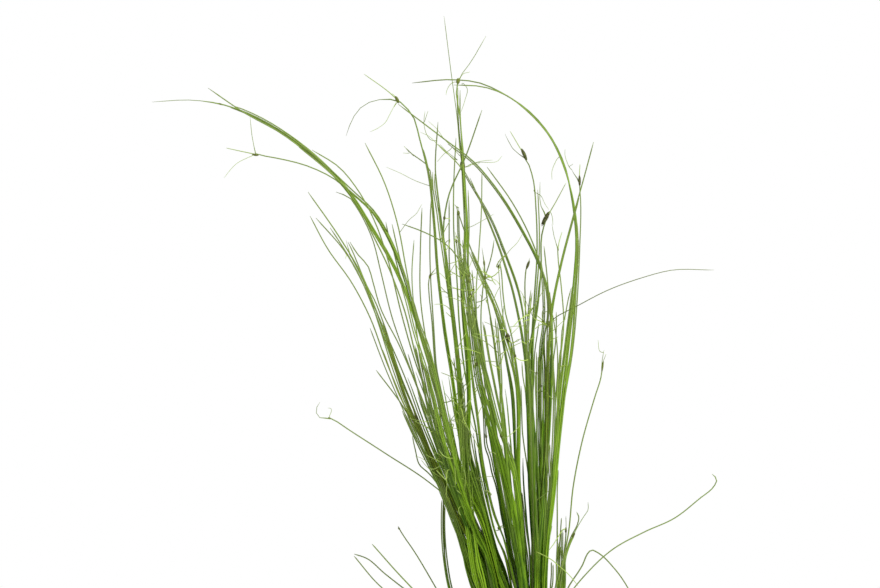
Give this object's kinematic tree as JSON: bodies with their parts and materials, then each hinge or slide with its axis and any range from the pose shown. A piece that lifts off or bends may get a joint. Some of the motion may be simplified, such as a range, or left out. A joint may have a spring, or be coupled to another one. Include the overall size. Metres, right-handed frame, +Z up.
{
  "type": "potted spikerush",
  "caption": "Dense tuft of hair-thin arching green culms with plantlets at their tips, rooted in a stone-wool plug in a small round slotted aquarium-plant pot.",
  "frame": {"origin": "centre of the pot's base, on the surface that it stands on", "axes": "+Z up, the plant's height; -Y is the side that the picture shows, with +X to its right"},
  "size_m": [0.2842, 0.1954, 0.3652],
  "materials": {
    "pot_plastic": "black moulded polypropylene, faint moulding lines, satin",
    "stone_wool": "felted mineral fibre, damp, with a little green algae",
    "culm_green": "smooth living green stem, satin, darker at the foot and paler at the tip",
    "culm_olive": "old stem gone olive brown, satin"
  },
  "bodies": {
    "root": {"culm_03": "culm_green", "culm_04": "culm_green", "culm_05": "culm_green", "culm_06": "culm_green", "culm_07": "culm_green", "culm_09": "culm_green", "culm_10": "culm_green", "culm_11": "culm_green", "culm_12": "culm_green", "culm_13": "culm_green", "culm_14": "culm_green", "culm_16": "culm_green", "culm_18": "culm_green", "culm_19": "culm_green", "culm_20": "culm_green", "culm_21": "culm_green", "culm_25": "culm_green", "culm_30": "culm_green", "culm_34": "culm_green", "culm_35": "culm_green", "culm_37": "culm_green", "culm_41": "culm_green", "culm_44": "culm_green", "culm_45": "culm_green", "culm_46": "culm_green", "culm_49": "culm_green", "culm_52": "culm_green", "culm_53": "culm_green", "culm_54": "culm_green", "culm_56": "culm_green", "culm_57": "culm_green", "pot": "pot_plastic", "strand_01": "culm_green", "strand_02": "culm_green", "strand_08": "culm_green", "strand_15": "culm_olive", "strand_17": "culm_olive", "strand_22": "culm_green", "strand_23": "culm_green", "strand_24": "culm_green", "strand_26": "culm_green", "strand_27": "culm_green", "strand_28": "culm_green", "strand_29": "culm_green", "strand_31": "culm_green", "strand_32": "culm_green", "strand_33": "culm_green", "strand_36": "culm_green", "strand_38": "culm_green", "strand_39": "culm_green", "strand_40": "culm_green", "strand_42": "culm_green", "strand_43": "culm_green", "strand_47": "culm_green", "strand_48": "culm_green", "strand_50": "culm_green", "strand_51": "culm_olive", "strand_55": "culm_green", "strand_58": "culm_green", "wool_plug": "stone_wool"}
  },
  "joints": []
}
